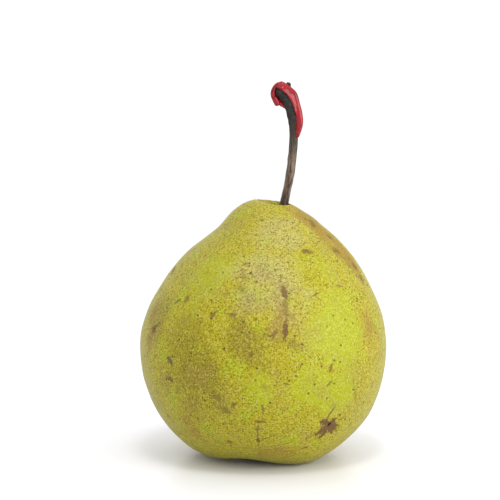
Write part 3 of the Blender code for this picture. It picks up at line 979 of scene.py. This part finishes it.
rows = add_tube(bm, path_rings(TWIG_END, TWIG_STEPS, TWIG_STEPS), TWIG_SIDES)
for verts in rows:
    for vert in verts:
        vert.co += noise.noise_vector(vert.co / TWIG_ROUGH[1]) * TWIG_ROUGH[0]
        vert[grain_layer] = vert.co
        vert[along_layer] = travelled
bmesh.ops.remove_doubles(bm, verts=bm.verts, dist=MERGE_DISTANCE)
bmesh.ops.recalc_face_normals(bm, faces=bm.faces)
stem = add_piece("stem_wood", bm, bark)
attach(stem, "root")
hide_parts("stem")


# ---- The wax seal ----------------------------------------------------------------
# Red sealing wax: the stem's head was dipped or dripped with it to keep the pear from
# drying out. It ran down the right side and the back, and left the front bare.

# The film's thickness over the bark, and how far it reaches into the bark.
WAX_SKIN = 0.55
WAX_SINK = 0.3
# How far the wax film runs down from the stem's tip in each direction round the stem.
WAX_EDGE = (
    (-172, 2.0),
    (-150, 0.5),
    (-95, 0.6),
    (-84, 4.0),
    (-76, 11.5),
    (-62, 14.0),
    (-48, 17.5),
    (-20, 20.0),
    (15, 20.0),
    (50, 13.0),
    (90, 9.0),
    (120, 6.5),
    (155, 7.0),
    (175, 6.0),
    (188, 2.0),
)
WAX_SIDES = 96
WAX_ROWS = 44
# The thick runs, as (x, y, height, radius): round the outside of the head and down
# the right, the roll that hangs off its left end, and short ones at the back.
WAX_FLOWS = (
    (
        (6.4, 2.5, 128.2, 0.9),
        (7.9, 2.3, 127.3, 0.95),
        (9.3, 2.2, 126.0, 1.15),
        (10.7, 2.2, 124.2, 1.35),
        (11.6, 2.1, 121.0, 1.35),
        (12.3, 2.0, 118.2, 1.4),
        (12.7, 2.0, 115.2, 1.3),
        (12.5, 2.0, 112.9, 1.1),
        (11.8, 1.9, 110.4, 0.9),
    ),
    (
        (7.4, 2.6, 127.8, 0.85),
        (5.8, 2.4, 128.1, 0.75),
        (4.5, 2.3, 127.3, 0.75),
        (3.6, 2.1, 125.7, 0.76),
        (3.55, 2.0, 124.2, 0.82),
        (4.2, 2.0, 122.9, 0.98),
        (5.05, 2.1, 121.4, 1.1),
    ),
    (
        (5.4, 2.6, 122.4, 0.7),
        (6.6, 2.5, 120.9, 0.55),
        (7.9, 2.4, 119.9, 0.45),
    ),
    (
        (7.6, 4.4, 127.2, 1.1),
        (9.6, 5.0, 124.9, 1.15),
        (10.4, 5.1, 121.8, 1.05),
        (10.9, 5.0, 118.6, 1.15),
    ),
    (
        (5.2, 3.9, 125.6, 1.1),
        (5.4, 4.6, 123.4, 1.1),
        (6.7, 4.8, 121.2, 1.0),
    ),
)
FLOW_STEPS = 12
FLOW_SIDES = 40
FLOW_ROUNDING = 8
WAX_VOXEL = 0.13
WAX_SMOOTHINGS = 12
WAX_SMOOTHING = 0.5
WAX_RED = "#930a18"
WAX_DEEP = "#520710"
WAX_ROUGHNESS = 0.14
WAX_CLOUDS_PER_MM = 0.5
WAX_DIMPLES_PER_MM = 0.9
WAX_DIMPLE_HEIGHT = 0.3


def ring_below_tip(rings, distance):
    """The stem's ring this far from its tip, measured along its surface."""
    for upper, lower in zip(rings[::-1], rings[-2::-1]):
        length = math.hypot((upper[0] - lower[0]).length, upper[2] - lower[2])
        if distance <= length:
            break
        distance -= length
    share = min(distance / length, 1.0)
    centre = upper[0].lerp(lower[0], share)
    direction = upper[1].lerp(lower[1], share).normalized()
    return centre, direction, upper[2] + (lower[2] - upper[2]) * share


# Sealing wax: resin and shellac wax full of red pigment, set from a melt, so it is
# glassy smooth, with bright glints and with darker clouds in its red.
wax, tree, shader = new_material("red_sealing_wax")
shader.inputs["Roughness"].default_value = WAX_ROUGHNESS
shader.inputs["Specular IOR Level"].default_value = 0.35
place = add_node(tree, "TexCoord", {}, output="Object")
mm = add_node(tree, "VectorMath", {0: place, "Scale": 1.0 / METRES_PER_MM}, operation="SCALE")
clouds = add_node(tree, "TexNoise", {"Vector": mm, "Scale": WAX_CLOUDS_PER_MM, "Detail": 3.0})
deep = add_node(tree, "MapRange", {0: clouds, 1: 0.42, 2: 0.68, 4: 0.8}, **STEP)
colour = add_node(tree, "Mix", {0: deep, 6: linear(WAX_RED), 7: linear(WAX_DEEP)}, **LAID_OVER)
tree.links.new(colour, shader.inputs["Base Color"])
dimples = add_node(tree, "TexNoise", {"Vector": mm, "Scale": WAX_DIMPLES_PER_MM, "Detail": 1.0})
bump_height = WAX_DIMPLE_HEIGHT * METRES_PER_MM
bumps = add_node(tree, "Bump", {"Height": dimples, "Strength": 0.4, "Distance": bump_height})
tree.links.new(bumps, shader.inputs["Normal"])

edge_angles, edge_reaches = zip(*[(math.radians(degrees), reach) for degrees, reach in WAX_EDGE])
rings = stem_rings()
bm = bmesh.new()
rows = add_tube(bm, [rings[0]] * WAX_ROWS, WAX_SIDES)
for row, verts in enumerate(rows):
    for side, vert in enumerate(verts):
        angle = 2.0 * math.pi * side / WAX_SIDES
        reach = np.interp(angle, edge_angles, edge_reaches, period=2.0 * math.pi)
        centre, direction, radius = ring_below_tip(rings, float(reach) * row / (WAX_ROWS - 1))
        place = across_stem(centre, direction, radius - WAX_SINK * min(radius, 1.0))
        vert.co = place @ Vector((math.cos(angle), math.sin(angle), 0.0))
bmesh.ops.remove_doubles(bm, verts=rows[0], dist=MERGE_DISTANCE)
bmesh.ops.recalc_face_normals(bm, faces=bm.faces)
bmesh.ops.solidify(bm, geom=list(bm.faces), thickness=-(WAX_SKIN + WAX_SINK))
for flow in WAX_FLOWS:
    rows = add_tube(bm, path_rings(flow, FLOW_STEPS, FLOW_ROUNDING), FLOW_SIDES)
    bmesh.ops.remove_doubles(bm, verts=rows[0] + rows[-1], dist=MERGE_DISTANCE)
bmesh.ops.recalc_face_normals(bm, faces=bm.faces)
seal = add_piece("wax_drips", bm, wax, scale=1.0)
melt = seal.modifiers.new("melt", "REMESH")
melt.mode = "VOXEL"
melt.voxel_size = WAX_VOXEL
settle = seal.modifiers.new("settle", "SMOOTH")
settle.factor = WAX_SMOOTHING
settle.iterations = WAX_SMOOTHINGS
graph = bpy.context.evaluated_depsgraph_get()
melted = bpy.data.meshes.new_from_object(seal.evaluated_get(graph))
seal.modifiers.clear()
seal.data = melted
melted.shade_smooth()
write_points(melted, read_points(melted) * METRES_PER_MM)
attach(seal, "root")
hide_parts("wax_seal")


# ---- The calyx -----------------------------------------------------------------------
# What is left of the flower's cup, in the basin underneath: a dry brown collar with five
# curled sepals, grown out of the flesh. It shows from below only.

# The collar as (radius, height), a closed loop.
COLLAR = (
    (2.5, 6.0),
    (2.7, 5.75),
    (3.1, 5.7),
    (3.4, 6.0),
    (3.5, 6.6),
    (3.4, 7.3),
    (2.6, 7.3),
    (2.4, 6.8),
    (2.5, 6.0),
)
COLLAR_STEPS = 3
COLLAR_SIDES = 90
# Crinkles, here and below: how far they stand out, and their size.
COLLAR_CRINKLE = (0.16, 0.8)
SEPALS = 5
SEPAL_GRID = (34, 18)
SEPAL_ROOT = (3.0, 6.5)
SEPAL_LENGTH = 4.1
SEPAL_LENGTH_SHARES = (0.85, 1.05)
SEPAL_STRAY = 0.12
# How far a sepal curls over, as a share of half a turn, and how much longer it is
# than it reaches outwards.
SEPAL_CURL = 0.55
SEPAL_ARCH = 1.4
SEPAL_DROP = (0.5, 2.3)
SEPAL_HALF_WIDTH = 1.35
SEPAL_TIP_HALF_WIDTH = 0.08
SEPAL_TAPER = 1.6
SEPAL_CUP = 0.55
SEPAL_RIBS = (0.07, 13.0)
SEPAL_CRINKLE = (0.3, 1.3)
# This sets one sepal's crinkles apart from the next one's.
CRINKLE_STEP = 9.0
SEPAL_THICKNESS = 0.28
SEPAL_TWIST = 0.35
DRY_BROWN = "#4a3523"
DRY_TAN = "#8a6b45"
DRY_DARK = "#1f1610"
FOLDS_PER_MM = 0.8
FLECKS_PER_MM = 3.5
DRY_BUMP_HEIGHT = 0.2

# Dried sepal: leaf gone to brown paper, matt and brittle, with tan patches and darker flecks strewn at
# random.
sepal_leaf, tree, shader = new_material("dried_sepal")
shader.inputs["Specular IOR Level"].default_value = 0.25
place = add_node(tree, "TexCoord", {}, output="Object")
mm = add_node(tree, "VectorMath", {0: place, "Scale": 1.0 / METRES_PER_MM}, operation="SCALE")
folds = add_node(tree, "TexNoise", {"Vector": mm, "Scale": FOLDS_PER_MM, "Detail": 5.0})
flecks = add_node(tree, "TexNoise", {"Vector": mm, "Scale": FLECKS_PER_MM, "Detail": 3.0})
tan = add_node(tree, "MapRange", {0: folds, 1: 0.42, 2: 0.66}, **STEP)
colour = add_node(tree, "Mix", {0: tan, 6: linear(DRY_BROWN), 7: linear(DRY_TAN)}, **LAID_OVER)
dark = add_node(tree, "MapRange", {0: flecks, 1: 0.46, 2: 0.34, 4: 0.8}, **STEP)
colour = add_node(tree, "Mix", {0: dark, 6: colour, 7: linear(DRY_DARK)}, **LAID_OVER)
tree.links.new(colour, shader.inputs["Base Color"])
dull = add_node(tree, "MapRange", {0: folds, 1: 0.35, 2: 0.65, 3: 0.7, 4: 0.9}, **STEP)
tree.links.new(dull, shader.inputs["Roughness"])
bump_height = DRY_BUMP_HEIGHT * METRES_PER_MM
bumps = add_node(tree, "Bump", {"Height": flecks, "Strength": 0.7, "Distance": bump_height})
tree.links.new(bumps, shader.inputs["Normal"])

bm = turned(curve_through(COLLAR, COLLAR_STEPS), COLLAR_SIDES)
for vert in bm.verts:
    vert.co += noise.noise_vector(vert.co / COLLAR_CRINKLE[1]) * COLLAR_CRINKLE[0]
for sepal in range(SEPALS):
    grown = bmesh.ops.create_grid(
        bm, x_segments=SEPAL_GRID[0], y_segments=SEPAL_GRID[1], size=1.0
    )["verts"]
    turn = 2.0 * math.pi * (sepal + seeded.uniform(-SEPAL_STRAY, SEPAL_STRAY)) / SEPALS
    length = SEPAL_LENGTH * seeded.uniform(*SEPAL_LENGTH_SHARES)
    drop = seeded.uniform(*SEPAL_DROP)
    twist = seeded.uniform(-SEPAL_TWIST, SEPAL_TWIST)
    for vert in grown:
        up_leaf = 0.5 * (vert.co.x + 1.0)
        side = vert.co.y
        half_width = SEPAL_HALF_WIDTH * (1.0 - up_leaf**SEPAL_TAPER) + SEPAL_TIP_HALF_WIDTH
        fold = SEPAL_CUP * side**2 * (1.0 - 0.5 * up_leaf)
        fold += SEPAL_RIBS[0] * math.cos(SEPAL_RIBS[1] * side)
        bent = math.pi * up_leaf * SEPAL_CURL
        out = SEPAL_ROOT[0] + length * math.sin(bent) / SEPAL_ARCH
        height = SEPAL_ROOT[1] - drop * (1.0 - math.cos(bent)) - fold
        across = side * half_width
        twisted = twist * up_leaf
        place = Vector((out, across * math.cos(twisted), height + across * math.sin(twisted)))
        sample = place / SEPAL_CRINKLE[1] + Vector((0.0, 0.0, CRINKLE_STEP * sepal))
        place += noise.noise_vector(sample) * (SEPAL_CRINKLE[0] * up_leaf)
        vert.co = Matrix.Rotation(turn, 3, "Z") @ place
    leaf = list({face for vert in grown for face in vert.link_faces})
    bmesh.ops.solidify(bm, geom=leaf, thickness=SEPAL_THICKNESS)
bmesh.ops.recalc_face_normals(bm, faces=bm.faces)
calyx = add_piece("sepal_star", bm, sepal_leaf)
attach(calyx, "root")
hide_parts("calyx")


# ---- The stamens ------------------------------------------------------------------
# The flower's stamens and styles, dried inside the calyx: thin wiry threads with a small
# dark knob on most of them, rooted in the fruit's blossom end.

STAMEN_MOUND = ((0.0, 6.0), (0.9, 6.1), (1.6, 6.5), (1.9, 7.0), (1.9, 7.4), (0.0, 7.4))
MOUND_STEPS = 4
MOUND_SIDES = 60
MOUND_CRINKLE = (0.3, 0.7)
STAMENS = 22
STAMEN_ROOT_RADII = (0.4, 1.6)
STAMEN_ROOT_HEIGHT = 6.7
STAMEN_TIP_HEIGHTS = (3.9, 5.1)
STAMEN_SPREAD = (-0.7, 0.5)
STAMEN_BEND = 0.5
THREAD_RADIUS = (0.13, 0.09)
ANTHER_RADIUS = (0.2, 0.3)
ANTHER_SHAPE = (1.0, 0.6, 0.8)
THREAD_SHARES = (0.0, 0.35, 0.7, 1.0)
THREAD_STEPS = 6
THREAD_ROUNDING = 4
THREAD_SIDES = 10
THREAD_BROWN = "#3b2919"
THREAD_TAN = "#74583a"
DUST_PER_MM = 1.6
THREAD_BUMP_HEIGHT = 0.2

# Dried stamen thread: shrivelled plant fibre, dull dark brown with lighter dusty patches.
thread, tree, shader = new_material("dried_stamen_thread")
shader.inputs["Specular IOR Level"].default_value = 0.25
shader.inputs["Roughness"].default_value = 0.85
place = add_node(tree, "TexCoord", {}, output="Object")
mm = add_node(tree, "VectorMath", {0: place, "Scale": 1.0 / METRES_PER_MM}, operation="SCALE")
dust = add_node(tree, "TexNoise", {"Vector": mm, "Scale": DUST_PER_MM, "Detail": 4.0})
dusty = add_node(tree, "MapRange", {0: dust, 1: 0.45, 2: 0.65}, **STEP)
colour = add_node(tree, "Mix", {0: dusty, 6: linear(THREAD_BROWN), 7: linear(THREAD_TAN)}, **LAID_OVER)
tree.links.new(colour, shader.inputs["Base Color"])
bump_height = THREAD_BUMP_HEIGHT * METRES_PER_MM
bumps = add_node(tree, "Bump", {"Height": dust, "Strength": 0.6, "Distance": bump_height})
tree.links.new(bumps, shader.inputs["Normal"])

bm = turned(curve_through(STAMEN_MOUND, MOUND_STEPS), MOUND_SIDES)
for vert in bm.verts:
    vert.co += noise.noise_vector(vert.co / MOUND_CRINKLE[1]) * MOUND_CRINKLE[0]
for _ in range(STAMENS):
    turn = seeded.uniform(0.0, 2.0 * math.pi)
    outwards = Vector((math.cos(turn), math.sin(turn), 0.0))
    root = seeded.uniform(*STAMEN_ROOT_RADII)
    tip = seeded.uniform(*STAMEN_TIP_HEIGHTS)
    spread = seeded.uniform(*STAMEN_SPREAD)
    bend = seeded.uniform(-STAMEN_BEND, STAMEN_BEND)
    sideways = Vector((-outwards.y, outwards.x, 0.0))
    path = []
    for share in THREAD_SHARES:
        point = outwards * (root + spread * share) + sideways * bend * math.sin(math.pi * share)
        point.z = STAMEN_ROOT_HEIGHT + (tip - STAMEN_ROOT_HEIGHT) * share
        width = THREAD_RADIUS[0] + (THREAD_RADIUS[1] - THREAD_RADIUS[0]) * share
        path.append((*point, width))
    rows = add_tube(bm, path_rings(path, THREAD_STEPS, THREAD_ROUNDING), THREAD_SIDES)
    bmesh.ops.remove_doubles(bm, verts=rows[0] + rows[-1], dist=MERGE_DISTANCE)
    shape = Matrix.Diagonal((*ANTHER_SHAPE, 1.0))
    knob = Matrix.Translation(point) @ Matrix.Rotation(turn, 4, "Z") @ shape
    bmesh.ops.create_icosphere(bm, subdivisions=3, radius=seeded.uniform(*ANTHER_RADIUS), matrix=knob)
bmesh.ops.recalc_face_normals(bm, faces=bm.faces)
stamens = add_piece("stamen_tuft", bm, thread)
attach(stamens, "root")
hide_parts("stamens")
